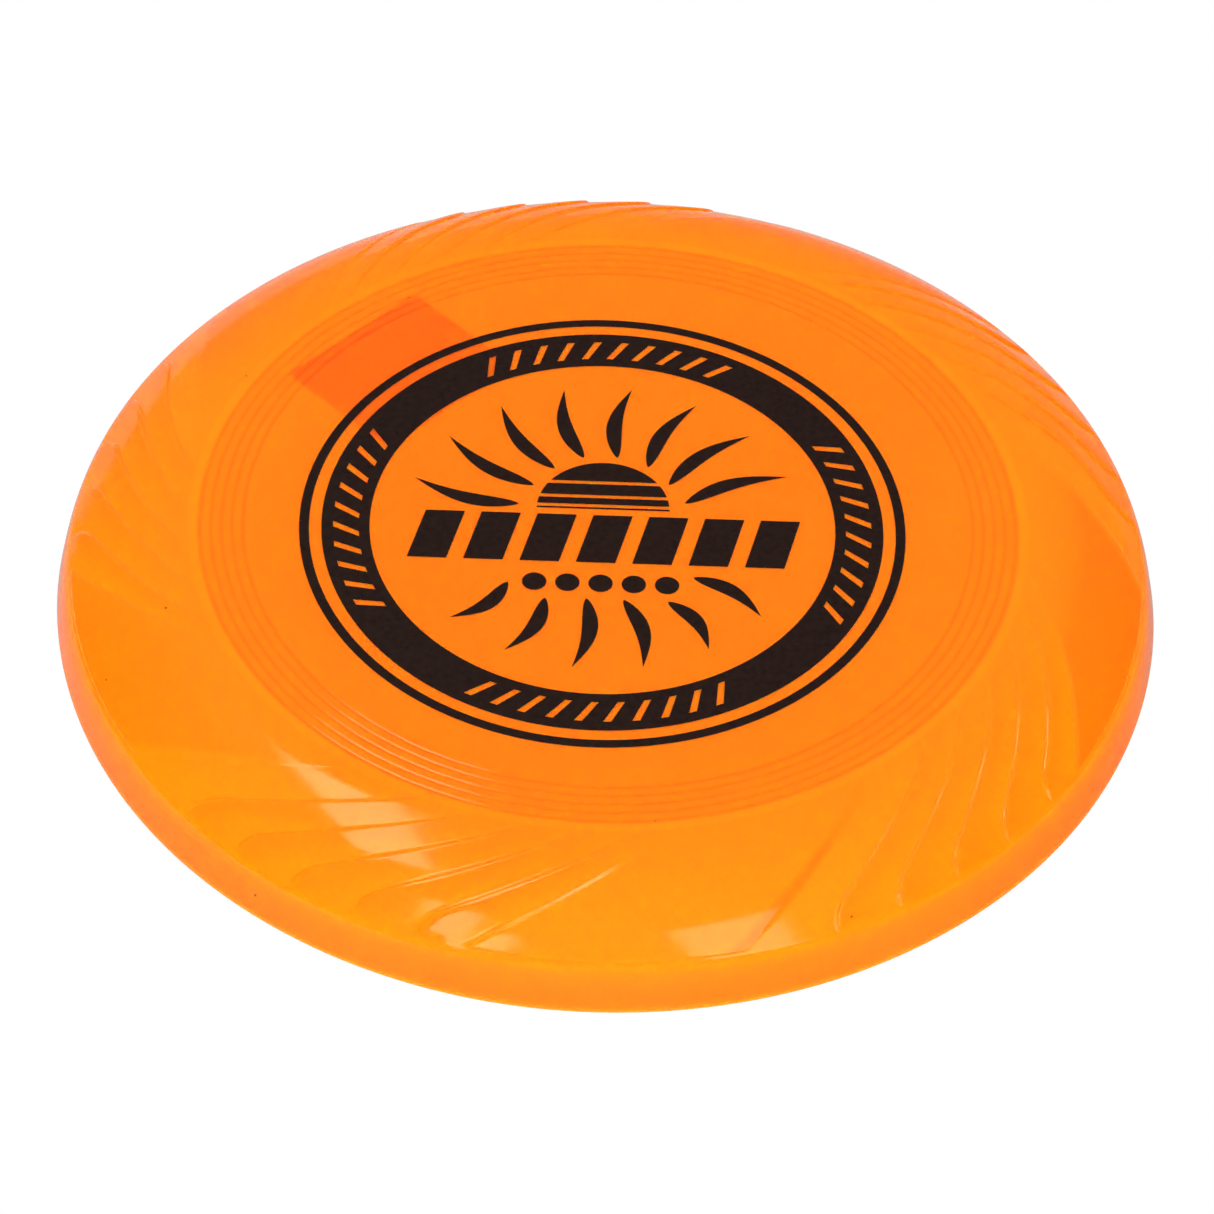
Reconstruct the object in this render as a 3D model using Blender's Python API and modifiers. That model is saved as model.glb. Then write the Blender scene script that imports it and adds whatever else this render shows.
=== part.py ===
"""A toy flying disc: one translucent moulding, a black print in separate islands, and a label under the plate.

Units are metres and +Z is up. The origin is the centre of the resting circle, so the disc stands on z = 0.
"""

from math import asin, cos, pi, radians, sin, sqrt, tau

import bpy
from mathutils import Vector
from numpy import interp, linspace

# ---- Moulding -----------------------------------------------------------------------------------------------

RIM_RADIUS = 0.125
HEIGHT = 0.024
WALL = 0.0018

# Fine grooves around the flat plate.
GROOVE_COUNT = 5
GROOVE_RADIUS = 0.0822
GROOVE_PITCH = 0.0024
GROOVE_HALF_WIDTH = 0.00055
GROOVE_DEPTH = 0.00035

# The shoulder falls from the plate to the rim as a power curve.
SHOULDER_START = 0.0935
SHOULDER_END = 0.1220
SHOULDER_DROP = 0.0121
SHOULDER_POWER = 2.25
SHOULDER_ROWS = 10

# The rim: a tight corner, then a wall that leans out to a rounded lip with a flat foot.
WALL_TOP = (0.1231, 0.0106)
WALL_FOOT = (RIM_RADIUS, 0.0015)
INNER_WALL_TOP = (0.1215, 0.0096)
UNDERSIDE_END = 0.1202
UNDERSIDE_ROWS = 7
LIP_OUTER = 0.1243
LIP_INNER = 0.1231
LIP_INSIDE = (0.1226, 0.0007)

# Swirl steps on the shoulder. A group's angles count counter-clockwise from its first edge, at the rim.
GROUPS = 5
GROUP_ANGLE = tau / GROUPS
FIRST_GROUP_BEARING = radians(213.3)
STEPS_IN_GROUP = 5
FIRST_STEP = radians(9.8)
STEP_PITCH = radians(7.24)
GROUP_END = radians(43.9)
RISER_HALF_ANGLE = radians(0.2)
PANEL_COLUMNS = 4
STEP_TOP = 0.00035
STEP_FOOT = -0.00017
PANEL_LIFT = 0.00012

# A step line leaves the rim squarely, bends counter-clockwise and then turns evenly on the way in to its tip.
# The rate is its turn for each metre of radius.
SWEEP_OUTER = 0.1212
SWEEP_INNER = 0.0952
SWEEP_BEND = 0.0060
SWEEP_RATE = radians(990)
STEP_FULL_RADIUS = 0.1060
STEP_FADE_RADIUS = 0.1203
STEP_END_RADIUS = 0.1222
PANEL_FULL_RADIUS = 0.1080

# ---- Print --------------------------------------------------------------------------------------------------

# The print sits a little off the moulding's centre.
PRINT_CENTRE = Vector((-0.0013, -0.0023, 0))
INK_GAP = 0.0003
INK_THICKNESS = 0.0002
CIRCLE_POINTS = 96

RING_RADII = (0.0660, 0.0682)
BAND_RADII = (0.0524, 0.0632)

# Slanted marks left open in the band, in blocks.
MARK_BLOCKS = 4
MARKS_IN_BLOCK = 10
MARK_BLOCK_BEARING = radians(1)
MARK_PITCH = radians(6.0)
MARK_RADII = (0.0548, 0.0606)
MARK_HALF_ANGLE = radians(0.85)
MARK_LEAN = radians(3.4)

# Curved rays around the emblem. A ray starts where it is clear of the emblem.
RAY_COUNT = 18
RAY_FIRST_BEARING = radians(102.7)
RAY_RADII = (0.0200, 0.0450)
RAY_SHORTEST = 0.0120
RAY_HALF_WIDTH = 0.0018
RAY_BEND = 0.0022
RAY_CLEARANCE = 0.0020
RAY_POINTS = 12

# The emblem: slanted bars in a row, a half sun cut by level gaps over them, and a row of dots under them.
BAR_COUNT = 7
BAR_PITCH = 0.0126
BAR_SIZE = (0.0088, 0.0150)
BAR_LEAN = 0.0036
BAR_CENTRE = (0.0005, -0.0045)
SUN_CENTRE = (0.0, 0.0050)
SUN_RADIUS = 0.0150
SUN_STRIPS = 4
SUN_STRIP_GAP = 0.0010
SUN_ARC_POINTS = 6
DOT_ROW_CENTRE = (0.0, -0.0185)
DOT_COUNT = 5
DOT_RADIUS = 0.0027
DOT_PITCH = 0.0074
DOT_POINTS = 20

# ---- Label --------------------------------------------------------------------------------------------------

LABEL_SIZE = (0.0340, 0.0400)
LABEL_CORNER = 0.0015
LABEL_THICKNESS = 0.00015
LABEL_GAP = 0.0003
LABEL_RADIUS = 0.0685
LABEL_BEARING = radians(136)

# ---- Materials: colour, roughness, transmission -------------------------------------------------------------

ORANGE_PLASTIC = ((1.0, 0.24, 0.012), 0.22, 0.35)
BLACK_INK = ((0.020, 0.014, 0.014), 0.45, 0.0)
PAPER = ((0.86, 0.84, 0.80), 0.75, 0.0)


def clear_scene():
    for obj in list(bpy.data.objects):
        bpy.data.objects.remove(obj, do_unlink=True)


def make_collection(name):
    collection = bpy.data.collections.new(name)
    bpy.context.scene.collection.children.link(collection)
    return collection


def make_material(name, look):
    colour, roughness, transmission = look
    material = bpy.data.materials.new(name)
    material.use_nodes = True
    shader = material.node_tree.nodes["Principled BSDF"]
    shader.inputs["Base Color"].default_value = (*colour, 1)
    shader.inputs["Roughness"].default_value = roughness
    shader.inputs["Metallic"].default_value = 0
    shader.inputs["Transmission Weight"].default_value = transmission
    material.diffuse_color = (*colour, 1)
    return material


# ---- The moulding's profile ---------------------------------------------------------------------------------


def shoulder_fraction(radius):
    return min(max((radius - SHOULDER_START) / (SHOULDER_END - SHOULDER_START), 0), 1)


def shoulder_height(radius):
    return HEIGHT - SHOULDER_DROP * shoulder_fraction(radius) ** SHOULDER_POWER


def shoulder_slope(radius):
    """How steeply the shoulder falls, as height lost for each metre of radius."""
    steepest = SHOULDER_DROP * SHOULDER_POWER / (SHOULDER_END - SHOULDER_START)
    return steepest * shoulder_fraction(radius) ** (SHOULDER_POWER - 1)


def underside_height(radius):
    return shoulder_height(radius) - WALL * sqrt(1 + shoulder_slope(radius) ** 2)


def bend(start, corner, end, count):
    """Points on the rounded corner from start to end, whose tangents there meet at corner."""
    points = []
    for t in linspace(0, 1, count):
        blend = [(1 - t) ** 2 * a + 2 * t * (1 - t) * b + t**2 * c for a, b, c in zip(start, corner, end)]
        points.append(tuple(blend))
    return points


def tangent_corner(point, slope, wall_point, wall_slope):
    """Where the line falling from point at slope meets the wall's line through wall_point."""
    radius = (point[1] + slope * point[0] - wall_point[1] - wall_slope * wall_point[0]) / (slope - wall_slope)
    return radius, point[1] - slope * (radius - point[0])


def disc_profile():
    """The closed half section: out along the top, down the rim, and back along the underside."""
    points = [(0, HEIGHT)]
    for k in range(GROOVE_COUNT):
        centre = GROOVE_RADIUS + k * GROOVE_PITCH
        points.append((centre - GROOVE_HALF_WIDTH, HEIGHT))
        points.append((centre, HEIGHT - GROOVE_DEPTH))
        points.append((centre + GROOVE_HALF_WIDTH, HEIGHT))
    for radius in linspace(SHOULDER_START, SHOULDER_END, SHOULDER_ROWS):
        points.append((radius, shoulder_height(radius)))

    wall_slope = (WALL_TOP[1] - WALL_FOOT[1]) / (WALL_FOOT[0] - WALL_TOP[0])
    corner = tangent_corner(points[-1], shoulder_slope(SHOULDER_END), WALL_TOP, wall_slope)
    points += bend(points[-1], corner, WALL_TOP, 4)[1:]
    points += bend(WALL_FOOT, (RIM_RADIUS, 0), (LIP_OUTER, 0), 3)
    points += bend((LIP_INNER, 0), (LIP_INSIDE[0], 0), LIP_INSIDE, 3)

    underside_start = (UNDERSIDE_END, underside_height(UNDERSIDE_END))
    inner_slope = (INNER_WALL_TOP[1] - LIP_INSIDE[1]) / (LIP_INSIDE[0] - INNER_WALL_TOP[0])
    corner = tangent_corner(underside_start, shoulder_slope(UNDERSIDE_END), INNER_WALL_TOP, inner_slope)
    points += bend(INNER_WALL_TOP, corner, underside_start, 3)
    for radius in linspace(UNDERSIDE_END, SHOULDER_START, UNDERSIDE_ROWS)[1:]:
        points.append((radius, underside_height(radius)))
    points.append((0, HEIGHT - WALL))
    return points


# ---- The swirl steps ----------------------------------------------------------------------------------------


def step_angles():
    return [FIRST_STEP + k * STEP_PITCH for k in range(STEPS_IN_GROUP)]


def group_columns():
    """The angles of a group's mesh columns: two at every riser, and the ones that keep the facets round."""
    angles = [0, FIRST_STEP / 3, FIRST_STEP * 2 / 3]
    risers = [*step_angles(), GROUP_END]
    for riser, following in zip(risers, risers[1:]):
        angles += [riser - RISER_HALF_ANGLE, riser + RISER_HALF_ANGLE, (riser + following) / 2]
    angles += [GROUP_END - RISER_HALF_ANGLE, GROUP_END + RISER_HALF_ANGLE]
    panel = linspace(GROUP_END, GROUP_ANGLE, PANEL_COLUMNS + 2)
    return angles + list(panel[1:-1])


def step_height(angle):
    """The facets' height at an angle in a group: each falls from its riser's top to the next riser's foot."""
    angles, heights = [0], [0]
    for riser in step_angles():
        angles += [riser - RISER_HALF_ANGLE, riser + RISER_HALF_ANGLE]
        heights += [STEP_FOOT, STEP_TOP]
    angles += [GROUP_END - RISER_HALF_ANGLE, GROUP_END + RISER_HALF_ANGLE]
    heights += [STEP_FOOT, 0]
    return interp(angle, angles, heights)


def panel_height(angle):
    """The smooth panel between two groups stands slightly proud."""
    angles = [0, FIRST_STEP, GROUP_END - RISER_HALF_ANGLE, GROUP_END + RISER_HALF_ANGLE]
    return interp(angle, angles, [PANEL_LIFT, 0, 0, PANEL_LIFT])


def step_share(radius):
    """How much of its height a step has at a radius: none at its tip and none past the rim corner."""
    return interp(radius, [SWEEP_INNER, STEP_FULL_RADIUS, STEP_FADE_RADIUS, STEP_END_RADIUS], [0, 1, 1, 0])


def panel_share(radius):
    return interp(radius, [SWEEP_INNER, PANEL_FULL_RADIUS, STEP_FADE_RADIUS, STEP_END_RADIUS], [0, 1, 1, 0])


def sweep(radius):
    """How far a step line has turned at a radius."""
    inward = min(max(SWEEP_OUTER - radius, 0), SWEEP_OUTER - SWEEP_INNER)
    if inward < SWEEP_BEND:
        return SWEEP_RATE * inward**2 / (2 * SWEEP_BEND)
    return SWEEP_RATE * (inward - SWEEP_BEND / 2)


def swirl(mesh):
    """Moves a turned disc's columns onto the swirling step lines, and raises the steps on its outer face."""
    columns = group_columns()
    count = GROUPS * len(columns)
    for vertex in mesh.vertices:
        radius = vertex.co.xy.length
        if radius < GROOVE_HALF_WIDTH:
            continue
        turned = Vector((1, 0)).angle_signed(vertex.co.xy)
        column = round(-turned / tau * count) % count
        group, place = divmod(column, len(columns))
        outer = vertex.co.z > shoulder_height(radius) - WALL / 2
        lift = step_height(columns[place]) * step_share(radius)
        lift += panel_height(columns[place]) * panel_share(radius)
        slope = shoulder_slope(radius)
        outward = Vector((slope, 1)).normalized() * (lift if outer else 0)
        bearing = FIRST_GROUP_BEARING + group * GROUP_ANGLE + columns[place] + sweep(radius)
        reach = radius + outward.x
        vertex.co = (reach * cos(bearing), reach * sin(bearing), vertex.co.z + outward.y)


def make_disc(collection):
    columns = GROUPS * len(group_columns())
    mesh = bpy.data.meshes.new("disc_profile")
    points = [(radius, 0, height) for radius, height in disc_profile()]
    mesh.from_pydata(points, [(k, k + 1) for k in range(len(points) - 1)], [])
    guide = bpy.data.objects.new("disc_profile", mesh)
    collection.objects.link(guide)
    screw = guide.modifiers.new("turn", "SCREW")
    screw.steps = columns
    screw.render_steps = columns
    screw.use_merge_vertices = True
    screw.merge_threshold = 0.00001
    bpy.context.view_layer.update()
    turned = bpy.data.meshes.new_from_object(guide.evaluated_get(bpy.context.evaluated_depsgraph_get()))
    bpy.data.objects.remove(guide, do_unlink=True)

    swirl(turned)
    turned.name = "disc"
    turned.shade_smooth()
    turned.set_sharp_from_angle(angle=radians(28))
    disc = bpy.data.objects.new("disc", turned)
    collection.objects.link(disc)
    return disc


# ---- Flat outlines ------------------------------------------------------------------------------------------


def flat_object(collection, name, outlines, thickness):
    """A flat solid from closed outlines, where an outline inside another is a hole."""
    curve = bpy.data.curves.new(name, "CURVE")
    curve.dimensions = "2D"
    curve.fill_mode = "BOTH"
    curve.extrude = thickness / 2
    for outline in outlines:
        spline = curve.splines.new("POLY")
        spline.points.add(len(outline) - 1)
        for point, (x, y) in zip(spline.points, outline):
            point.co = (x, y, 0, 1)
        spline.use_cyclic_u = True
    obj = bpy.data.objects.new(name, curve)
    collection.objects.link(obj)
    return obj


def arc(centre, radius, start, end, count):
    angles = [start + (end - start) * k / count for k in range(count + 1)]
    return [(centre[0] + radius * cos(a), centre[1] + radius * sin(a)) for a in angles]


def circle(centre, radius, count):
    return arc(centre, radius, 0, tau, count)[:-1]


def rounded_rectangle(centre, size, corner, count):
    x, y = size[0] / 2 - corner, size[1] / 2 - corner
    outline = []
    for quarter, (side_x, side_y) in enumerate([(1, 1), (-1, 1), (-1, -1), (1, -1)]):
        corner_centre = (centre[0] + side_x * x, centre[1] + side_y * y)
        outline += arc(corner_centre, corner, quarter * pi / 2, (quarter + 1) * pi / 2, count)
    return outline


# ---- The print ----------------------------------------------------------------------------------------------


def band_marks():
    """Slanted bars left open in the band, in evenly spaced blocks."""
    marks = []
    for block in range(MARK_BLOCKS):
        for k in range(MARKS_IN_BLOCK):
            middle = MARK_BLOCK_BEARING + block * tau / MARK_BLOCKS + (k - (MARKS_IN_BLOCK - 1) / 2) * MARK_PITCH
            corners = []
            for radius, lean in zip(MARK_RADII, (MARK_LEAN / 2, -MARK_LEAN / 2)):
                edges = (middle + lean + MARK_HALF_ANGLE, middle + lean - MARK_HALF_ANGLE)
                corners.append([(radius * cos(a), radius * sin(a)) for a in edges])
            marks.append(corners[0] + corners[1][::-1])
    return marks


def in_emblem(x, y):
    """Whether a point is within a ray's clearance of the emblem."""
    near_bars = abs(x - BAR_CENTRE[0]) < BAR_COUNT * BAR_PITCH / 2 + RAY_CLEARANCE
    near_bars &= abs(y - BAR_CENTRE[1]) < BAR_SIZE[1] / 2 + RAY_CLEARANCE
    near_sun = (x - SUN_CENTRE[0]) ** 2 + (y - SUN_CENTRE[1]) ** 2 < (SUN_RADIUS + RAY_CLEARANCE) ** 2
    near_dots = abs(x - DOT_ROW_CENTRE[0]) < DOT_COUNT * DOT_PITCH / 2 + RAY_CLEARANCE
    near_dots &= abs(y - DOT_ROW_CENTRE[1]) < DOT_RADIUS + RAY_CLEARANCE
    return near_bars or near_sun or near_dots


def ray_outline(bearing, start, end):
    """A ray that swells and tapers along one gentle bend."""
    sides = ([], [])
    for t in linspace(0, 1, RAY_POINTS):
        along = start + (end - start) * t
        across = RAY_BEND * sin(pi * t)
        half = RAY_HALF_WIDTH * sin(pi * t**0.7)
        for side, offset in zip(sides, (across + half, across - half)):
            x = along * cos(bearing) - offset * sin(bearing)
            y = along * sin(bearing) + offset * cos(bearing)
            side.append((x, y))
    return sides[1] + sides[0][-2:0:-1]


def ray_outlines():
    outlines = []
    for k in range(RAY_COUNT):
        bearing = RAY_FIRST_BEARING + k * tau / RAY_COUNT
        start, end = RAY_RADII
        while start < end and in_emblem(start * cos(bearing), start * sin(bearing)):
            start += RAY_CLEARANCE / 4
        if end - start > RAY_SHORTEST:
            outlines.append(ray_outline(bearing, start, end))
    return outlines


def bar_outlines():
    half_width, half_height = BAR_SIZE[0] / 2, BAR_SIZE[1] / 2
    outlines = []
    for k in range(BAR_COUNT):
        x = BAR_CENTRE[0] + (k - (BAR_COUNT - 1) / 2) * BAR_PITCH
        top, foot = BAR_CENTRE[1] + half_height, BAR_CENTRE[1] - half_height
        lean = BAR_LEAN / 2
        outlines.append([
            (x - lean - half_width, foot),
            (x - lean + half_width, foot),
            (x + lean + half_width, top),
            (x + lean - half_width, top),
        ])
    return outlines


def sun_outlines():
    """A half sun over the bars, in level strips that get taller upwards."""
    shares = [k * (k + 1) / (SUN_STRIPS * (SUN_STRIPS + 1)) for k in range(SUN_STRIPS + 1)]
    outlines = []
    for low, high in zip(shares, shares[1:]):
        foot, top = low * SUN_RADIUS, high * SUN_RADIUS - SUN_STRIP_GAP
        if high == 1:
            top = SUN_RADIUS
        start, end = asin(foot / SUN_RADIUS), asin(top / SUN_RADIUS)
        right = arc(SUN_CENTRE, SUN_RADIUS, start, end, SUN_ARC_POINTS)
        left = arc(SUN_CENTRE, SUN_RADIUS, pi - end, pi - start, SUN_ARC_POINTS)
        outlines.append(right + left[1 if high == 1 else 0:])
    return outlines


def dot_outlines():
    x, y = DOT_ROW_CENTRE
    offsets = [(k - (DOT_COUNT - 1) / 2) * DOT_PITCH for k in range(DOT_COUNT)]
    return [circle((x + offset, y), DOT_RADIUS, DOT_POINTS) for offset in offsets]


def print_islands():
    """Every island of ink, by name, as its outlines about the print's centre."""
    origin = (0, 0)
    islands = {
        "print_ring": [circle(origin, radius, CIRCLE_POINTS) for radius in RING_RADII],
        "print_band": [circle(origin, radius, CIRCLE_POINTS) for radius in BAND_RADII] + band_marks(),
    }
    repeated = {"ray": ray_outlines(), "bar": bar_outlines(), "sun": sun_outlines(), "dot": dot_outlines()}
    for kind, outlines in repeated.items():
        for number, outline in enumerate(outlines, 1):
            islands[f"print_{kind}_{number:02d}"] = [outline]
    return islands


def make_print(collection, ink):
    height = HEIGHT + INK_GAP + INK_THICKNESS / 2
    for name, outlines in print_islands().items():
        island = flat_object(collection, name, outlines, INK_THICKNESS)
        island.location = PRINT_CENTRE + Vector((0, 0, height))
        island.data.materials.append(ink)


# ---- The label ----------------------------------------------------------------------------------------------


def make_label(collection):
    outline = rounded_rectangle((0, 0), LABEL_SIZE, LABEL_CORNER, 4)
    label = flat_object(collection, "label", [outline], LABEL_THICKNESS)
    height = HEIGHT - WALL - LABEL_GAP - LABEL_THICKNESS / 2
    label.location = (LABEL_RADIUS * cos(LABEL_BEARING), LABEL_RADIUS * sin(LABEL_BEARING), height)
    label.rotation_euler.z = LABEL_BEARING
    return label


def main():
    clear_scene()
    parts = make_collection("flying_disc")
    make_disc(parts).data.materials.append(make_material("orange_plastic", ORANGE_PLASTIC))
    make_print(parts, make_material("black_ink", BLACK_INK))
    make_label(parts).data.materials.append(make_material("paper", PAPER))


main()
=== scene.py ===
"""The looks of the toy flying disc: a fine mesh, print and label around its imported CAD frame.

Units are metres and +Z is up. The disc lies on z = 0 with its plate's centre over the origin.
"""

from math import asin, atan2, cos, pi, radians, sin, tan, tau

import bpy
import numpy as np
from mathutils import Matrix, Vector


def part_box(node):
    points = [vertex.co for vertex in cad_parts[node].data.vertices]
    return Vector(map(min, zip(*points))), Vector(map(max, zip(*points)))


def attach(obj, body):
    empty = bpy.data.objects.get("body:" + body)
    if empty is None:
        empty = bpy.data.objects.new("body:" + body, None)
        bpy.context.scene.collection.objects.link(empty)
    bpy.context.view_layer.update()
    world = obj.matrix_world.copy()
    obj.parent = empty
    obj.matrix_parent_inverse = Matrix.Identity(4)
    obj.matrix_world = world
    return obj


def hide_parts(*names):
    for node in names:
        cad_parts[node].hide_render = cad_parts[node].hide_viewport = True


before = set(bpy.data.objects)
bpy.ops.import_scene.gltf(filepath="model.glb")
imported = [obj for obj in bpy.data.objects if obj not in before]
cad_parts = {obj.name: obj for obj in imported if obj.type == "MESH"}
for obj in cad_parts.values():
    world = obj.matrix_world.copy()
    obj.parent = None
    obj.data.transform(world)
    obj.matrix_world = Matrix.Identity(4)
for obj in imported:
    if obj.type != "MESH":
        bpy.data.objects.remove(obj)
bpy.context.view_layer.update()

# ---- Sizes read from the frame -------------------------------------------------------------------


def box_centre(node):
    low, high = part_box(node)
    return (low + high) / 2


def box_width(node):
    low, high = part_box(node)
    return high.x - low.x


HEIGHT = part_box("disc")[1].z
RIM_RADIUS = max(abs(side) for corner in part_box("disc") for side in corner.xy)
PRINT_CENTRE = box_centre("print_ring").xy
RING_OUTER = box_width("print_ring") / 2
BAND_OUTER = box_width("print_band") / 2
LABEL_CENTRE = box_centre("label").xy

# ---- Moulding ------------------------------------------------------------------------------------

WALL = 0.0018
CENTRE_RADIUS = 0.004

GROOVE_COUNT = 5
GROOVE_RADIUS = 0.0822
GROOVE_PITCH = 0.0024
GROOVE_HALF_WIDTH = 0.00070
GROOVE_DEPTH = 0.00012
GROOVES_START = GROOVE_RADIUS - GROOVE_HALF_WIDTH
GROOVES_END = GROOVE_RADIUS + (GROOVE_COUNT - 1) * GROOVE_PITCH + GROOVE_HALF_WIDTH

SHOULDER_START = 0.0935
SHOULDER_END = 0.1220
CORNER_START = 0.1216
SHOULDER_DROP = 0.0121
SHOULDER_POWER = 2.25

WALL_TOP = (0.1231, 0.0106)
CORNER_FOOT = 0.0056
WALL_FOOT = (RIM_RADIUS, 0.0015)
INNER_WALL_TOP = (0.1215, 0.0096)
UNDERSIDE_END = 0.1202
LIP_OUTER = 0.1243
LIP_INNER = 0.1231
LIP_INSIDE = (0.1226, 0.0007)

# Rows of the mesh on each stretch of the profile, its two ends included, from the centre out and back.
PLATE_ROWS = 7
GROOVE_ROWS = 7
PALE_RING_ROWS = 4
SHOULDER_ROWS = 36
CREASE_ROWS = 5
CORNER_ROWS = 15
RAISED_CORNER_ROWS = 6
WALL_ROWS = 6
LIP_OUTER_ROWS = 7
LIP_INNER_ROWS = 5
INNER_CORNER_ROWS = 8
UNDERSIDE_ROWS = 15
UNDER_PLATE_ROWS = 5

# The swirl: groups of steps with a smooth panel after each. A group's angles are those at the rim.
GROUPS = 5
GROUP_ANGLE = tau / GROUPS
FIRST_GROUP_BEARING = radians(213.3)
STEPS_IN_GROUP = 5
FIRST_STEP = radians(9.8)
STEP_PITCH = radians(7.24)
GROUP_END = radians(43.9)
RISER_HALF_ANGLE = radians(0.74)
RISER_COLUMNS = (0.1, 0.23, 0.4, 0.6, 0.8, 1.0, 1.4)
WIDEST_COLUMN = radians(1.65)
STEP_TOP = 0.00035
STEP_FOOT = -0.00017
PANEL_LIFT = 0.00012
CREASE_RADIUS = 0.1212
CREASE_WIDTH = 0.0003

# A riser is a mix of a soft one and a crisp one. Steps get crisp towards the rim, the panels' edges inwards.
CRISP_RISER = 0.22
CRISP_SHARE = 0.75
CRISP_STEP_RADII = (0.1070, 0.1150)
CRISP_EDGE_RADII = (0.1060, 0.1020)

# How the lines turn on the way in from the rim. The turns are for each metre of radius.
LINE_OUTER = 0.1212
LINE_INNER = 0.0952
LINE_BEND = 0.0060
STEP_LINE_TURN = radians(990)
PANEL_EDGE_TURN = radians(860)

# Where steps and panels reach their full height on the way out, and where steps fade past the corner.
STEP_FULL_RADIUS = 0.1165
STEP_GROWTH = 0.25
STEP_FADE_RADII = (0.1203, 0.1222)
PANEL_FULL_RADIUS = 0.1080

# How much painted shade deepens the orange, from 0 to 1. The grooves' and each panel's painted shade add to
# the rest.
# The plate has deeper painted shade than the shoulder, which is lit more.
PLATE_PAINTED_SHADE = 0.34
SHOULDER_PAINTED_SHADE = 0.15
# The zone among the grooves is darker.
GROOVE_ZONE_DARKENING = 0.10
# Painted shade in each groove's hollow.
GROOVE_PAINTED_SHADE = 0.34
# A pale ring past the grooves, with no painted shade.
PALE_RING = (0.0928, 0.0944)
# Each panel's painted shade in turn, or painted light where it is below 0, reaching inwards in part.
PANEL_PAINTED_SHADES = (-0.15, 0.46, 0.1, 0.1, 0.15)
PANEL_PAINTED_SHADE_RADII = (0.1030, 0.1085)
PANEL_INNER_SHARE = 0.55

# ---- Print and label -----------------------------------------------------------------------------

INK_THICKNESS = 0.00004
INK_SUNK = 0.00001
CIRCLE_POINTS = 360
RING_RADII = (0.0660, RING_OUTER)
BAND_RADII = (0.0524, BAND_OUTER)
MARK_BLOCKS = 4
MARKS_IN_BLOCK = 10
MARK_BLOCK_BEARING = radians(1)
MARK_PITCH = radians(6.0)
MARK_RADII = (0.0548, 0.0606)
MARK_HALF_ANGLE = radians(0.85)
MARK_LEAN = radians(3.4)

RAY_COUNT = 18
RAY_FIRST_BEARING = radians(102.7)
RAY_RADII = (0.0200, 0.0450)
RAY_SHORTEST = 0.0120
RAY_HALF_WIDTH = 0.0018
RAY_BEND = 0.0022
RAY_CLEARANCE = 0.0020
RAY_SEARCH_STEP = 0.0005
RAY_SWELL_POWER = 0.7
RAY_POINTS = 40

BAR_COUNT = 7
BAR_PITCH = 0.0126
BAR_SIZE = (0.0088, 0.0150)
BAR_LEAN = 0.0036
BAR_CENTRE = (0.0005, -0.0045)
SUN_CENTRE = (0.0, 0.0050)
SUN_RADIUS = 0.0150
SUN_STRIPS = 4
SUN_STRIP_GAP = 0.0010
SUN_ARC_POINTS = 24
DOT_ROW_CENTRE = (0.0, -0.0185)
DOT_COUNT = 5
DOT_RADIUS = 0.0027
DOT_PITCH = 0.0074
DOT_POINTS = 48

LABEL_SIZE = (0.0340, 0.0400)
LABEL_CORNER = 0.0015
LABEL_CORNER_POINTS = 8
LABEL_THICKNESS = 0.00015
LABEL_GAP = 0.00004

# ---- Colours -------------------------------------------------------------------------------------

ORANGE_TONES = ((1.0, 0.154, 0.0021, 1), (1.0, 0.168, 0.0025, 1))
# The orange that painted shade mixes in.
PAINTED_SHADE_ORANGE = (1.0, 0.085, 0.0012, 1)
FLECK_COLOUR = (0.20, 0.03, 0.008, 1)
FLECK_SCALE = 165.0
FLECK_EDGE = (0.04, 0.07)
FLECK_CHOICE = (0.93, 0.94)
INK_TONES = ((0.010, 0.003, 0.003, 1), (0.016, 0.006, 0.005, 1))
PAPER_TONES = ((0.80, 0.78, 0.74, 1), (0.90, 0.88, 0.84, 1))
BLACK = (0.0, 0.0, 0.0, 1)
WHITE = (1, 1, 1, 1)

# The values of a noise texture that count as its lowest and highest.
NOISE_SPAN = (0.3, 0.7)
MOTTLE_SPAN = (0.35, 0.65)

# ---- Camera and light ----------------------------------------------------------------------------

CAMERA_AIM = Vector((0.0003, -0.0281, HEIGHT))
CAMERA_DISTANCE = 1.1071
CAMERA_ELEVATION = radians(45.64)
CAMERA_ROLL = radians(1.90)
CAMERA_LENS = 148.27
SENSOR_WIDTH = 36

FLOOR_SIZE = 6.0
LAMP_DISTANCE = 2.0
LAMP_COLOUR = (1.0, 0.96, 0.55)

# How strong the white surroundings are to the camera, in reflections and as light, and where that changes.
CAMERA_WHITE = 1.0
ROOM_LIGHT = 0.68
ROOM_REFLECTIONS = (0.03, 0.15)
ROOM_SIDE_SPAN = (0.35, 0.85)
ROOM_CEILING_SPAN = (0.40, 0.85)
FLOOR_LIGHT = (0.62, 1.45)
SHADE_RADII = (0.085, 0.105)
FLOOR_REFLECTIONS = (0.42, 0.20)
BRIGHT_REFLECTION = 0.50
BRIGHT_REFLECTION_CENTRE = (0.0, 0.035, 0.0)
BRIGHT_REFLECTION_RADII = (0.120, 0.150)


# ---- The moulding's profile ----------------------------------------------------------------------


def smooth(t):
    """Rises from 0 to 1 with level ends as t goes from 0 to 1."""
    t = np.clip(t, 0, 1)
    return t * t * (3 - 2 * t)


def shoulder_fraction(radius):
    return np.clip((radius - SHOULDER_START) / (SHOULDER_END - SHOULDER_START), 0, 1)


def shoulder_height(radius):
    return HEIGHT - SHOULDER_DROP * shoulder_fraction(radius) ** SHOULDER_POWER


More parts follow.
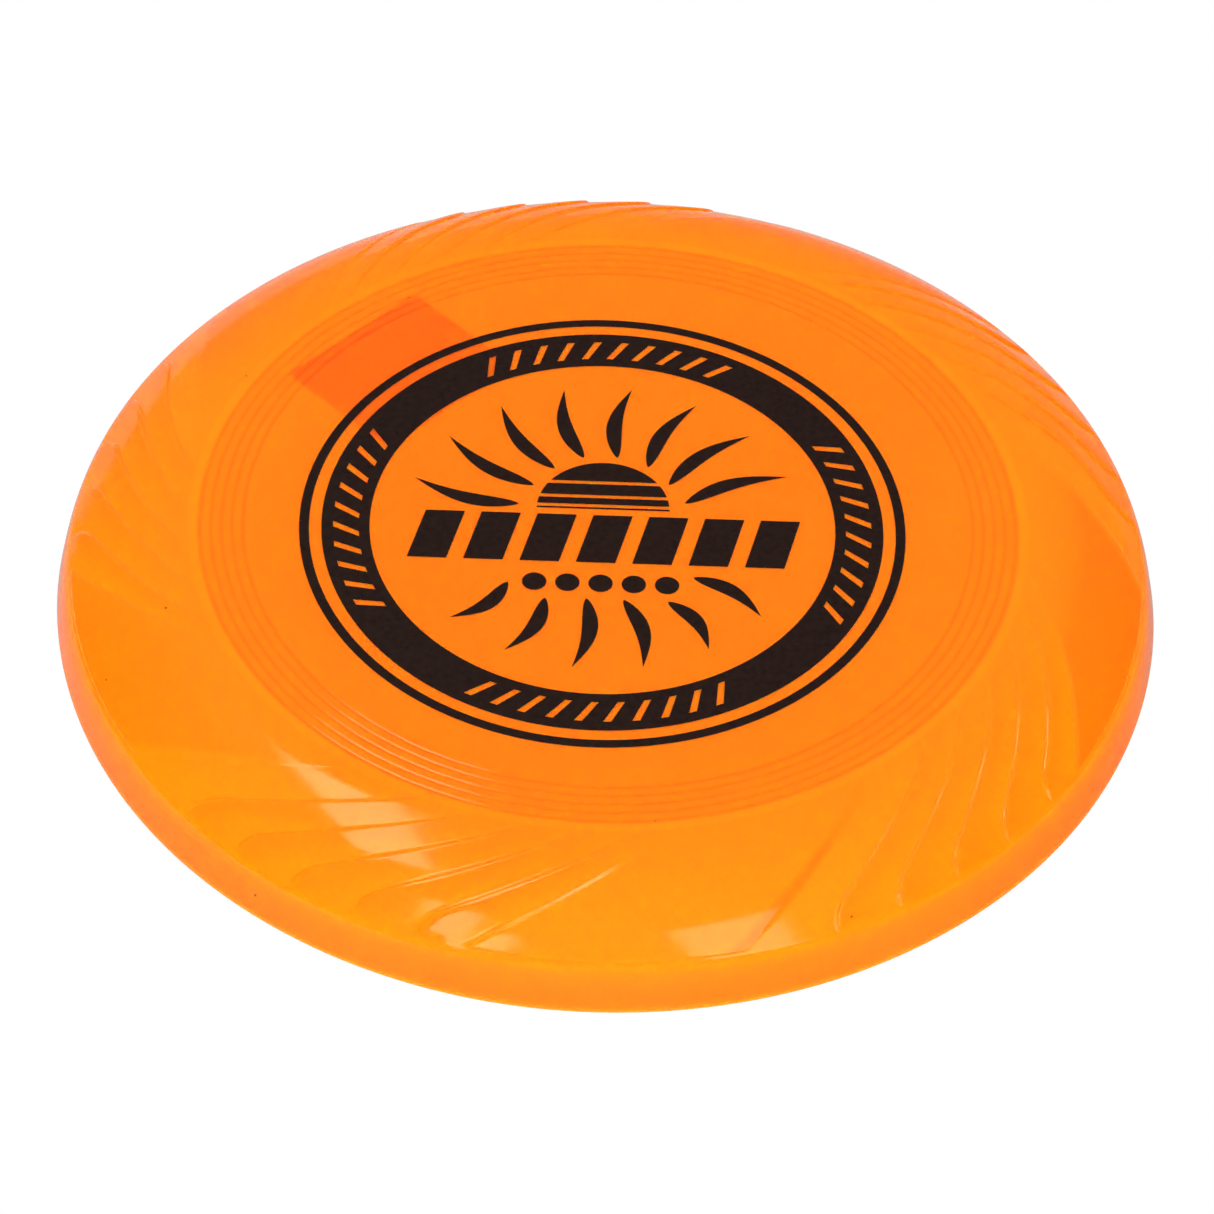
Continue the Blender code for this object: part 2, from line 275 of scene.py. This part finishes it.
def shoulder_slope(radius):
    """How steeply the shoulder falls, as height lost for each metre of radius."""
    steepest = SHOULDER_DROP * SHOULDER_POWER / (SHOULDER_END - SHOULDER_START)
    return steepest * shoulder_fraction(radius) ** (SHOULDER_POWER - 1)


def underside_height(radius):
    return shoulder_height(radius) - WALL * np.sqrt(1 + shoulder_slope(radius) ** 2)


def groove_depth(radius):
    depth = np.zeros_like(radius)
    for k in range(GROOVE_COUNT):
        away = np.abs(radius - GROOVE_RADIUS - k * GROOVE_PITCH) / GROOVE_HALF_WIDTH
        depth += GROOVE_DEPTH * (1 - smooth(away))
    return depth


def bend(start, corner, end, count):
    """Points on the rounded corner from start to end, whose tangents there meet at corner."""
    t = np.linspace(0, 1, count)[:, None]
    return (1 - t) ** 2 * np.array(start) + 2 * t * (1 - t) * np.array(corner) + t**2 * np.array(end)


def tangent_corner(point, slope, wall_point, wall_slope):
    """Where the line falling from point at slope meets the wall's line through wall_point."""
    height_at_axis = point[1] + slope * point[0]
    wall_height_at_axis = wall_point[1] + wall_slope * wall_point[0]
    radius = (height_at_axis - wall_height_at_axis) / (slope - wall_slope)
    return radius, height_at_axis - slope * radius


def top_profile():
    """Radius and height along the outer face, from near the centre to the end of the shoulder."""
    radii = list(np.linspace(CENTRE_RADIUS, GROOVE_RADIUS - 2 * GROOVE_HALF_WIDTH, PLATE_ROWS))
    across_groove = GROOVE_HALF_WIDTH * np.linspace(-1, 1, GROOVE_ROWS)
    for k in range(GROOVE_COUNT):
        radii += list(GROOVE_RADIUS + k * GROOVE_PITCH + across_groove)
    radii += list(np.linspace(GROOVES_END, SHOULDER_START, PALE_RING_ROWS)[1:-1])
    radii += list(np.linspace(SHOULDER_START, CREASE_RADIUS - CREASE_WIDTH, SHOULDER_ROWS))
    radii += list(CREASE_RADIUS + CREASE_WIDTH * np.linspace(-0.5, 0.5, CREASE_ROWS))
    radii.append(CORNER_START)
    radii = np.array(radii)
    return np.stack([radii, shoulder_height(radii) - groove_depth(radii)], axis=1)


def rim_profile(shoulder_end):
    """The corner, the wall, the lip and the inside of the wall, after the shoulder's last point."""
    wall_slope = (WALL_TOP[1] - WALL_FOOT[1]) / (WALL_FOOT[0] - WALL_TOP[0])
    corner = tangent_corner(shoulder_end, shoulder_slope(CORNER_START), WALL_TOP, wall_slope)
    corner_end = (WALL_TOP[0] + (WALL_TOP[1] - CORNER_FOOT) / wall_slope, CORNER_FOOT)
    inner_slope = (INNER_WALL_TOP[1] - LIP_INSIDE[1]) / (LIP_INSIDE[0] - INNER_WALL_TOP[0])
    under_end = (UNDERSIDE_END, underside_height(UNDERSIDE_END))
    inner_corner = tangent_corner(under_end, shoulder_slope(UNDERSIDE_END), INNER_WALL_TOP, inner_slope)
    return np.concatenate([
        bend(shoulder_end, corner, corner_end, CORNER_ROWS)[1:],
        np.linspace(corner_end, WALL_FOOT, WALL_ROWS)[1:-1],
        bend(WALL_FOOT, (RIM_RADIUS, 0), (LIP_OUTER, 0), LIP_OUTER_ROWS),
        bend((LIP_INNER, 0), (LIP_INSIDE[0], 0), LIP_INSIDE, LIP_INNER_ROWS),
        np.linspace(LIP_INSIDE, INNER_WALL_TOP, WALL_ROWS)[1:-1],
        bend(INNER_WALL_TOP, inner_corner, under_end, INNER_CORNER_ROWS),
    ])


def underside_profile():
    radii = np.concatenate([
        np.linspace(UNDERSIDE_END, SHOULDER_START, UNDERSIDE_ROWS)[1:],
        np.linspace(SHOULDER_START, CENTRE_RADIUS, UNDER_PLATE_ROWS)[1:],
    ])
    return np.stack([radii, underside_height(radii)], axis=1)


# ---- The swirl steps -----------------------------------------------------------------------------


def step_angles():
    return [FIRST_STEP + k * STEP_PITCH for k in range(STEPS_IN_GROUP)]


def group_columns():
    """The angles of a group's mesh columns, close together at every edge and wider on the facets."""
    edges = [0, *step_angles(), GROUP_END, GROUP_ANGLE]
    side = RISER_HALF_ANGLE * np.array(RISER_COLUMNS)
    near = np.concatenate([-side[::-1], side])
    angles = []
    for edge, following in zip(edges, edges[1:]):
        gap = following - edge - 2 * near[-1]
        between = round(gap / WIDEST_COLUMN)
        angles += list(edge + near)
        angles += list(edge + near[-1] + gap * np.arange(1, between + 1) / (between + 1))
    return np.array(angles)


def riser(away, width):
    """How far up a riser is at an angle from its middle, where a width of 1 is a soft riser's."""
    return smooth((away / (RISER_HALF_ANGLE * width) + 1) / 2)


def step_height(angle, width):
    """The facets' height at an angle in a group, each falling from a riser's top to the next one's foot."""
    height = np.zeros_like(angle)
    edges = [*step_angles(), GROUP_END]
    first = angle < edges[0]
    height[first] = (STEP_FOOT * np.clip(angle / (edges[0] - RISER_HALF_ANGLE), 0, 1))[first]
    for k, edge in enumerate(edges):
        top = STEP_TOP if k < STEPS_IN_GROUP else 0
        following = edges[k + 1] if k < STEPS_IN_GROUP else GROUP_ANGLE
        foot = STEP_FOOT if k < STEPS_IN_GROUP else 0
        rise = (top - STEP_FOOT) * riser(angle - edge, width)
        past_riser = (angle - edge - RISER_HALF_ANGLE) / (following - edge - 2 * RISER_HALF_ANGLE)
        fall = (foot - top) * np.clip(past_riser, 0, 1)
        here = (angle >= edge - RISER_HALF_ANGLE) & (angle < following - RISER_HALF_ANGLE)
        height[here] = (STEP_FOOT + rise + fall)[here]
    return height


def panel_height(angle, width):
    """The smooth panel between two groups stands slightly proud, and falls in one riser where it ends."""
    past_last_step = riser(angle - GROUP_END, 1) - riser(angle - GROUP_ANGLE, width)
    return PANEL_LIFT * np.maximum(past_last_step, riser(-angle, width))


def softened(height, angle, radius, crisp_radii):
    """Heights whose risers go from soft at the first of two radii to crisp at the second."""
    start, end = crisp_radii
    crispness = CRISP_SHARE * smooth((radius - start) / (end - start))
    return height(angle, 1) * (1 - crispness) + height(angle, CRISP_RISER) * crispness


def step_share(radius):
    """How much of its height a step has at a radius: none at its tip and none past the rim corner."""
    rise = np.clip((radius - LINE_INNER) / (STEP_FULL_RADIUS - LINE_INNER), 0, 1) ** STEP_GROWTH
    start, end = STEP_FADE_RADII
    return rise * (1 - smooth((radius - start) / (end - start)))


def panel_share(radius):
    rise = np.clip((radius - LINE_INNER) / (PANEL_FULL_RADIUS - LINE_INNER), 0, 1)
    return rise * (1 - smooth((radius - CREASE_RADIUS) / CREASE_WIDTH + 0.5))


def line_turn(radius, angle):
    """How far the lines have turned at a radius: step lines leave the rim squarely and panel edges don't."""
    inward = np.clip(LINE_OUTER - radius, 0, LINE_OUTER - LINE_INNER)
    bent = np.where(inward < LINE_BEND, inward**2 / (2 * LINE_BEND), inward - LINE_BEND / 2)
    steps = step_angles()
    edge_share = np.interp(angle, [0, steps[0], steps[-1], GROUP_END], [1, 0, 0, 1])
    return STEP_LINE_TURN * bent * (1 - edge_share) + PANEL_EDGE_TURN * inward * edge_share


def swirl_points(profile, outer_rows):
    """Every row's ring of points, turned onto the lines and raised on the outer face."""
    columns = group_columns()
    angles = np.concatenate([columns + k * GROUP_ANGLE for k in range(GROUPS)])
    place = np.tile(columns, GROUPS)
    radius, height = profile[:, :1], profile[:, 1:]
    lift = softened(step_height, place, radius, CRISP_STEP_RADII) * step_share(radius)
    lift += softened(panel_height, place, radius, CRISP_EDGE_RADII) * panel_share(radius)
    lift[outer_rows:] = 0
    slope = shoulder_slope(radius)
    lift /= np.sqrt(1 + slope**2)
    bearing = FIRST_GROUP_BEARING + angles + line_turn(radius, place)
    reach = radius + lift * slope
    return np.stack([reach * np.cos(bearing), reach * np.sin(bearing), height + lift], axis=2)


def painted_shade_map(profile, outer_rows):
    """How much painted shade deepens the orange at every point of the moulding, from 0 to 1."""
    place = np.tile(group_columns(), GROUPS)
    # Each panel's painted shade, or painted light where it is below 0.
    panel_shades = np.repeat(PANEL_PAINTED_SHADES, len(place) // GROUPS)
    radius = profile[:, :1]
    inner, outer = PANEL_PAINTED_SHADE_RADII
    outward = smooth((radius - inner) / (outer - inner))
    reach = panel_share(radius) * (PANEL_INNER_SHARE + (1 - PANEL_INNER_SHARE) * outward)
    on_panel = panel_height(place, 1) / PANEL_LIFT
    among_grooves = (radius > GROOVES_START) & (radius < GROOVES_END)
    # Painted shade on the plate and the shoulder and in the grooves' hollows, none on the pale ring, and on
    # the rim and underside as on the shoulder.
    rings = np.where(radius < PALE_RING[0], PLATE_PAINTED_SHADE, SHOULDER_PAINTED_SHADE)
    rings += GROOVE_ZONE_DARKENING * among_grooves + GROOVE_PAINTED_SHADE * groove_depth(radius) / GROOVE_DEPTH
    rings[(radius > PALE_RING[0]) & (radius < PALE_RING[1])] = 0
    rings[outer_rows:] = SHOULDER_PAINTED_SHADE
    return np.clip(panel_shades * on_panel * reach + rings, 0, 1)


def ring_faces(rows, columns):
    """Quads between neighbouring rings, and a fan to the centre point at each end."""
    index = np.arange(rows * columns).reshape(rows, columns)
    beside = np.roll(index, -1, axis=1)
    quads = np.stack([index[:-1], index[1:], beside[1:], beside[:-1]], axis=2).reshape(-1, 4)
    top, bottom = rows * columns, rows * columns + 1
    top_fan = [(top, int(a), int(b)) for a, b in zip(index[0], beside[0])]
    bottom_fan = [(bottom, int(b), int(a)) for a, b in zip(index[-1], beside[-1])]
    return quads.tolist() + top_fan + bottom_fan


def make_disc():
    top = top_profile()
    rim = rim_profile(top[-1])
    profile = np.concatenate([top, rim, underside_profile()])
    outer_rows = len(top) + RAISED_CORNER_ROWS
    points = swirl_points(profile, outer_rows)
    rows, columns = points.shape[:2]
    centres = [(0, 0, HEIGHT), (0, 0, HEIGHT - WALL)]
    mesh = bpy.data.meshes.new("moulding")
    mesh.from_pydata(points.reshape(-1, 3).tolist() + centres, [], ring_faces(rows, columns))
    mesh.shade_smooth()
    # The painted shade of the orange, stored on every point.
    depth = mesh.attributes.new("depth", "FLOAT", "POINT")
    depth.data.foreach_set("value", [*painted_shade_map(profile, outer_rows).ravel(), PLATE_PAINTED_SHADE, PLATE_PAINTED_SHADE])
    disc = bpy.data.objects.new("moulding", mesh)
    bpy.context.scene.collection.objects.link(disc)
    return disc


# ---- Flat outlines -------------------------------------------------------------------------------


def flat_mesh(name, outlines, thickness, centre, bottom, turn=0.0):
    """A thin flat piece from closed outlines, where an outline inside another is a hole."""
    curve = bpy.data.curves.new(name, "CURVE")
    curve.dimensions = "2D"
    curve.fill_mode = "BOTH"
    curve.extrude = thickness / 2
    for outline in outlines:
        spline = curve.splines.new("POLY")
        spline.points.add(len(outline) - 1)
        for point, (x, y) in zip(spline.points, outline):
            point.co = (x, y, 0, 1)
        spline.use_cyclic_u = True
    guide = bpy.data.objects.new(name + "_outline", curve)
    bpy.context.scene.collection.objects.link(guide)
    bpy.context.view_layer.update()
    mesh = bpy.data.meshes.new_from_object(guide.evaluated_get(bpy.context.evaluated_depsgraph_get()))
    bpy.data.objects.remove(guide, do_unlink=True)
    mesh.name = name
    mesh.transform(Matrix.Translation((*centre, bottom + thickness / 2)) @ Matrix.Rotation(turn, 4, "Z"))
    piece = bpy.data.objects.new(name, mesh)
    bpy.context.scene.collection.objects.link(piece)
    return piece


def arc(centre, radius, start, end, count):
    angles = [start + (end - start) * k / count for k in range(count + 1)]
    return [(centre[0] + radius * cos(a), centre[1] + radius * sin(a)) for a in angles]


def circle(centre, radius, count):
    return arc(centre, radius, 0, tau, count)[:-1]


def rounded_rectangle(centre, size, corner, count):
    x, y = size[0] / 2 - corner, size[1] / 2 - corner
    outline = []
    for quarter, (side_x, side_y) in enumerate([(1, 1), (-1, 1), (-1, -1), (1, -1)]):
        corner_centre = (centre[0] + side_x * x, centre[1] + side_y * y)
        outline += arc(corner_centre, corner, quarter * pi / 2, (quarter + 1) * pi / 2, count)
    return outline


# ---- The print -----------------------------------------------------------------------------------


def band_marks():
    """Slanted bars left open in the band, in evenly spaced blocks."""
    marks = []
    for block in range(MARK_BLOCKS):
        first = MARK_BLOCK_BEARING + block * tau / MARK_BLOCKS - (MARKS_IN_BLOCK - 1) / 2 * MARK_PITCH
        for k in range(MARKS_IN_BLOCK):
            middle = first + k * MARK_PITCH
            corners = []
            for radius, lean in zip(MARK_RADII, (MARK_LEAN / 2, -MARK_LEAN / 2)):
                edges = (middle + lean + MARK_HALF_ANGLE, middle + lean - MARK_HALF_ANGLE)
                corners.append([(radius * cos(a), radius * sin(a)) for a in edges])
            marks.append(corners[0] + corners[1][::-1])
    return marks


def in_emblem(x, y):
    """Whether a point is within a ray's clearance of the emblem."""
    near_bars = abs(x - BAR_CENTRE[0]) < BAR_COUNT * BAR_PITCH / 2 + RAY_CLEARANCE
    near_bars &= abs(y - BAR_CENTRE[1]) < BAR_SIZE[1] / 2 + RAY_CLEARANCE
    near_sun = (x - SUN_CENTRE[0]) ** 2 + (y - SUN_CENTRE[1]) ** 2 < (SUN_RADIUS + RAY_CLEARANCE) ** 2
    near_dots = abs(x - DOT_ROW_CENTRE[0]) < DOT_COUNT * DOT_PITCH / 2 + RAY_CLEARANCE
    near_dots &= abs(y - DOT_ROW_CENTRE[1]) < DOT_RADIUS + RAY_CLEARANCE
    return near_bars or near_sun or near_dots


def ray_outline(bearing, start, end):
    """A ray that swells and tapers along one gentle bend."""
    sides = ([], [])
    for t in np.linspace(0, 1, RAY_POINTS):
        along = start + (end - start) * t
        across = RAY_BEND * sin(pi * t)
        half = RAY_HALF_WIDTH * sin(pi * t**RAY_SWELL_POWER)
        for side, offset in zip(sides, (across + half, across - half)):
            x = along * cos(bearing) - offset * sin(bearing)
            y = along * sin(bearing) + offset * cos(bearing)
            side.append((x, y))
    return sides[1] + sides[0][-2:0:-1]


def ray_outlines():
    outlines = []
    for k in range(RAY_COUNT):
        bearing = RAY_FIRST_BEARING + k * tau / RAY_COUNT
        start, end = RAY_RADII
        while start < end and in_emblem(start * cos(bearing), start * sin(bearing)):
            start += RAY_SEARCH_STEP
        if end - start > RAY_SHORTEST:
            outlines.append(ray_outline(bearing, start, end))
    return outlines


def bar_outlines():
    half_width, half_height, lean = BAR_SIZE[0] / 2, BAR_SIZE[1] / 2, BAR_LEAN / 2
    foot, top = BAR_CENTRE[1] - half_height, BAR_CENTRE[1] + half_height
    outlines = []
    for k in range(BAR_COUNT):
        x = BAR_CENTRE[0] + (k - (BAR_COUNT - 1) / 2) * BAR_PITCH
        outlines.append([
            (x - lean - half_width, foot),
            (x - lean + half_width, foot),
            (x + lean + half_width, top),
            (x + lean - half_width, top),
        ])
    return outlines


def sun_outlines():
    """A half sun over the bars, in level strips that get taller upwards."""
    shares = [k * (k + 1) / (SUN_STRIPS * (SUN_STRIPS + 1)) for k in range(SUN_STRIPS + 1)]
    outlines = []
    for low, high in zip(shares, shares[1:]):
        foot, top = low * SUN_RADIUS, high * SUN_RADIUS - SUN_STRIP_GAP
        if high == 1:
            top = SUN_RADIUS
        start, end = asin(foot / SUN_RADIUS), asin(top / SUN_RADIUS)
        right = arc(SUN_CENTRE, SUN_RADIUS, start, end, SUN_ARC_POINTS)
        left = arc(SUN_CENTRE, SUN_RADIUS, pi - end, pi - start, SUN_ARC_POINTS)
        outlines.append(right + left[1 if high == 1 else 0:])
    return outlines


def dot_outlines():
    x, y = DOT_ROW_CENTRE
    offsets = [(k - (DOT_COUNT - 1) / 2) * DOT_PITCH for k in range(DOT_COUNT)]
    return [circle((x + offset, y), DOT_RADIUS, DOT_POINTS) for offset in offsets]


def make_print(ink):
    """One thin film for each kind of printed shape, standing for all the CAD islands of that kind."""
    origin = (0, 0)
    films = {
        "ring": [circle(origin, radius, CIRCLE_POINTS) for radius in RING_RADII],
        "band": [circle(origin, radius, CIRCLE_POINTS) for radius in BAND_RADII] + band_marks(),
        "ray": ray_outlines(),
        "bar": bar_outlines(),
        "sun": sun_outlines(),
        "dot": dot_outlines(),
    }
    for kind, outlines in films.items():
        film = flat_mesh("ink_" + kind, outlines, INK_THICKNESS, PRINT_CENTRE, HEIGHT - INK_SUNK)
        film.data.materials.append(ink)
        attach(film, "root")
        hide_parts(*[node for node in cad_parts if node.startswith("print_" + kind)])


# ---- Materials -----------------------------------------------------------------------------------


class Nodes:
    """Adds linked nodes to a node tree, around the shader that it already has."""

    def __init__(self, tree, shader, coordinates):
        self.tree = tree
        self.shader = tree.nodes[shader]
        self.place = self.add("ShaderNodeTexCoord").outputs[coordinates]

    def add(self, kind, links=(), **settings):
        """A node with its settings, whose inputs by name are values or other nodes' outputs."""
        node = self.tree.nodes.new(kind)
        for name, value in settings.items():
            setattr(node, name, value)
        for name, value in dict(links).items():
            self.set(node, name, value)
        return node

    def set(self, node, name, value):
        self.set_socket(node.inputs[name], value)

    def set_socket(self, socket, value):
        """Links another node's output to a socket, or gives the socket a plain value."""
        if isinstance(value, bpy.types.NodeSocket):
            self.tree.links.new(value, socket)
        else:
            socket.default_value = value

    def noise(self, scale, detail=2.0, roughness=0.5, distortion=0.0, vector=None):
        links = {"Scale": scale, "Detail": detail, "Roughness": roughness, "Distortion": distortion}
        links["Vector"] = vector or self.place
        return self.add("ShaderNodeTexNoise", links).outputs["Fac"]

    def ranged(self, value, low, high, new_low, new_high):
        """Maps value from low..high to new_low..new_high, held at both ends."""
        links = {"Value": value, "From Min": low, "From Max": high, "To Min": new_low, "To Max": new_high}
        return self.add("ShaderNodeMapRange", links).outputs["Result"]

    def mix(self, factor, first, second):
        """Mixes two colours."""
        node = self.add("ShaderNodeMix", data_type="RGBA")
        for index, value in {0: factor, 6: first, 7: second}.items():
            self.set_socket(node.inputs[index], value)
        return node.outputs[2]

    def mix_numbers(self, factor, first, second):
        node = self.add("ShaderNodeMix")
        for index, value in {0: factor, 2: first, 3: second}.items():
            self.set_socket(node.inputs[index], value)
        return node.outputs[0]

    def math(self, operation, first, second=0.0):
        node = self.add("ShaderNodeMath", operation=operation)
        self.set(node, 0, first)
        self.set(node, 1, second)
        return node.outputs[0]

    def strength_by_ray(self, camera, glossy, other):
        """A light strength that differs for what the camera sees, what reflections see and other light."""
        path = self.add("ShaderNodeLightPath")
        unseen = self.mix_numbers(path.outputs["Is Glossy Ray"], other, glossy)
        return self.mix_numbers(path.outputs["Is Camera Ray"], unseen, camera)

    def stretched(self, x, y, z):
        return self.add("ShaderNodeMapping", {"Vector": self.place, "Scale": (x, y, z)}).outputs["Vector"]

    def bump(self, height, distance, normal=None):
        links = {"Height": height, "Distance": distance}
        if normal:
            links["Normal"] = normal
        return self.add("ShaderNodeBump", links).outputs["Normal"]


def new_material(name):
    material = bpy.data.materials.new(name)
    material.use_nodes = True
    return material, Nodes(material.node_tree, "Principled BSDF", "Object")


def orange_plastic():
    """Glossy translucent plastic with faint flow marks and a few dark flecks, its orange deepened by the
    painted shade map.
    """
    material, n = new_material("orange_plastic_moulded")
    flow = n.ranged(n.noise(scale=22, detail=3, roughness=0.55, distortion=0.6), *NOISE_SPAN, 0.0, 1.0)
    colour = n.mix(flow, *ORANGE_TONES)
    # Painted shade, stored on the moulding's points, deepens the orange.
    depth = n.add("ShaderNodeAttribute", attribute_name="depth").outputs["Fac"]
    colour = n.mix(depth, colour, PAINTED_SHADE_ORANGE)
    cells = n.add("ShaderNodeTexVoronoi", {"Vector": n.place, "Scale": FLECK_SCALE})
    near = n.ranged(cells.outputs["Distance"], *FLECK_EDGE, 1.0, 0.0)
    cell_number = n.add("ShaderNodeSeparateColor", {"Color": cells.outputs["Color"]}).outputs[0]
    chosen = n.ranged(cell_number, *FLECK_CHOICE, 0.0, 1.0)
    colour = n.mix(n.math("MULTIPLY", near, chosen), colour, FLECK_COLOUR)
    n.set(n.shader, "Base Color", colour)
    n.set(n.shader, "Roughness", n.ranged(n.noise(scale=60, detail=4), *NOISE_SPAN, 0.08, 0.12))
    waves = n.bump(n.noise(scale=45, detail=2), distance=0.00002)
    n.set(n.shader, "Normal", n.bump(n.noise(scale=900, detail=2), distance=0.000002, normal=waves))
    n.set(n.shader, "IOR", 1.49)
    n.set(n.shader, "Subsurface Weight", 1.0)
    n.set(n.shader, "Subsurface Radius", (0.3, 1.0, 0.2))
    n.set(n.shader, "Subsurface Scale", 0.010)
    return material


def black_ink():
    """Printed ink: satin black with a fine mottle."""
    material, n = new_material("black_ink_printed")
    mottle = n.ranged(n.noise(scale=700, detail=3), *MOTTLE_SPAN, 0.0, 1.0)
    n.set(n.shader, "Base Color", n.mix(mottle, *INK_TONES))
    n.set(n.shader, "Roughness", n.ranged(n.noise(scale=300, detail=3), *NOISE_SPAN, 0.25, 0.35))
    n.set(n.shader, "Normal", n.bump(n.noise(scale=1500, detail=2), distance=0.000002))
    n.set(n.shader, "Specular IOR Level", 0.3)
    return material


def label_paper():
    """Uncoated paper with a faint fibre."""
    material, n = new_material("paper_label_stock")
    fibre = n.noise(scale=500, detail=4, roughness=0.6, vector=n.stretched(1, 4, 1))
    n.set(n.shader, "Base Color", n.mix(fibre, *PAPER_TONES))
    n.set(n.shader, "Roughness", n.ranged(fibre, *NOISE_SPAN, 0.7, 0.85))
    n.set(n.shader, "Normal", n.bump(fibre, distance=0.00001))
    return material


def studio_white():
    """A floor that is white to the camera and casts less light under the disc.

    Reflections see it dim, more so to the right, and brighter around the disc and just behind it.
    """
    material, n = new_material("studio_white")
    right = n.add("ShaderNodeSeparateXYZ", {"Vector": n.place}).outputs["X"]
    reflection = n.ranged(right, -RIM_RADIUS, RIM_RADIUS, *FLOOR_REFLECTIONS)
    behind = n.add("ShaderNodeVectorMath", operation="DISTANCE")
    n.set(behind, 0, n.place)
    n.set(behind, 1, BRIGHT_REFLECTION_CENTRE)
    reflection = n.ranged(behind.outputs["Value"], *BRIGHT_REFLECTION_RADII, BRIGHT_REFLECTION, reflection)
    away = n.add("ShaderNodeVectorMath", operation="LENGTH")
    n.set(away, 0, n.place)
    light = n.ranged(away.outputs["Value"], *SHADE_RADII, *FLOOR_LIGHT)
    n.set(n.shader, "Base Color", BLACK)
    n.set(n.shader, "Roughness", 0.9)
    n.set(n.shader, "Specular IOR Level", 0.0)
    n.set(n.shader, "Emission Color", WHITE)
    n.set(n.shader, "Emission Strength", n.strength_by_ray(CAMERA_WHITE, reflection, light))
    return material


# ---- Pieces --------------------------------------------------------------------------------------


def make_moulding():
    moulding = make_disc()
    moulding.data.materials.append(orange_plastic())
    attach(moulding, "root")
    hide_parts("disc")


def make_label():
    outline = rounded_rectangle((0, 0), LABEL_SIZE, LABEL_CORNER, LABEL_CORNER_POINTS)
    bearing = atan2(LABEL_CENTRE.y, LABEL_CENTRE.x)
    bottom = HEIGHT - WALL - LABEL_GAP - LABEL_THICKNESS
    label = flat_mesh("paper_label", [outline], LABEL_THICKNESS, LABEL_CENTRE, bottom, bearing)
    label.data.materials.append(label_paper())
    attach(label, "root")
    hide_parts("label")


# ---- Stage ---------------------------------------------------------------------------------------


def make_floor():
    bpy.ops.mesh.primitive_plane_add(size=FLOOR_SIZE)
    floor = bpy.context.object
    floor.name = "floor"
    floor.data.materials.append(studio_white())


def make_lamp(name, bearing, tilt, size, radiance, in_reflections=True):
    """A softbox facing the disc from a bearing and a tilt off the vertical, and as large as size from there.

    All its angles are in degrees.
    """
    data = bpy.data.lights.new(name, "AREA")
    data.shape = "RECTANGLE"
    data.size, data.size_y = [2 * LAMP_DISTANCE * tan(radians(angle) / 2) for angle in size]
    data.energy = radiance * pi * data.size * data.size_y
    data.color = LAMP_COLOUR
    lamp = bpy.data.objects.new(name, data)
    bpy.context.scene.collection.objects.link(lamp)
    level = sin(radians(tilt))
    direction = Vector((level * cos(radians(bearing)), level * sin(radians(bearing)), cos(radians(tilt))))
    lamp.location = Vector((0, 0, HEIGHT)) + direction * LAMP_DISTANCE
    lamp.rotation_euler = direction.to_track_quat("Z", "Y").to_euler()
    lamp.visible_camera = False
    lamp.visible_glossy = in_reflections


def make_room():
    """A studio that is white to the camera and gives soft light. To reflections it is dark."""
    world = bpy.data.worlds.new("studio")
    world.use_nodes = True
    n = Nodes(world.node_tree, "Background", "Generated")
    side, _, up = n.add("ShaderNodeSeparateXYZ", {"Vector": n.place}).outputs
    ends = n.ranged(n.math("ABSOLUTE", side), *ROOM_SIDE_SPAN, 1.0, 0.0)
    ceiling = n.ranged(up, *ROOM_CEILING_SPAN, 0.0, 1.0)
    reflections = n.ranged(n.math("MAXIMUM", ends, ceiling), 0.0, 1.0, *ROOM_REFLECTIONS)
    n.set(n.shader, "Color", WHITE)
    n.set(n.shader, "Strength", n.strength_by_ray(CAMERA_WHITE, reflections, ROOM_LIGHT))
    bpy.context.scene.world = world


def make_camera():
    data = bpy.data.cameras.new("camera")
    data.lens = CAMERA_LENS
    data.sensor_width = SENSOR_WIDTH
    camera = bpy.data.objects.new("camera", data)
    bpy.context.scene.collection.objects.link(camera)
    back = Vector((0, -cos(CAMERA_ELEVATION), sin(CAMERA_ELEVATION)))
    place = Matrix.Translation(CAMERA_AIM + back * CAMERA_DISTANCE)
    tilt = Matrix.Rotation(pi / 2 - CAMERA_ELEVATION, 4, "X")
    camera.matrix_world = place @ tilt @ Matrix.Rotation(CAMERA_ROLL, 4, "Z")
    bpy.context.scene.camera = camera


make_moulding()
make_print(black_ink())
make_label()
make_floor()
make_room()
make_lamp("key_softbox", bearing=167.5, tilt=18, size=(44, 11.5), radiance=4.6)
make_lamp("front_left_softbox", bearing=-113.5, tilt=46.5, size=(9, 12), radiance=4.4)
make_lamp("front_right_softbox", bearing=-59.3, tilt=47, size=(16, 24), radiance=3.2)
make_lamp("front_fill", bearing=-94, tilt=66, size=(60, 60), radiance=2.15, in_reflections=False)
make_lamp("back_fill", bearing=94, tilt=78, size=(100, 24), radiance=3.3, in_reflections=False)
make_camera()
bpy.context.scene.view_settings.view_transform = "Standard"
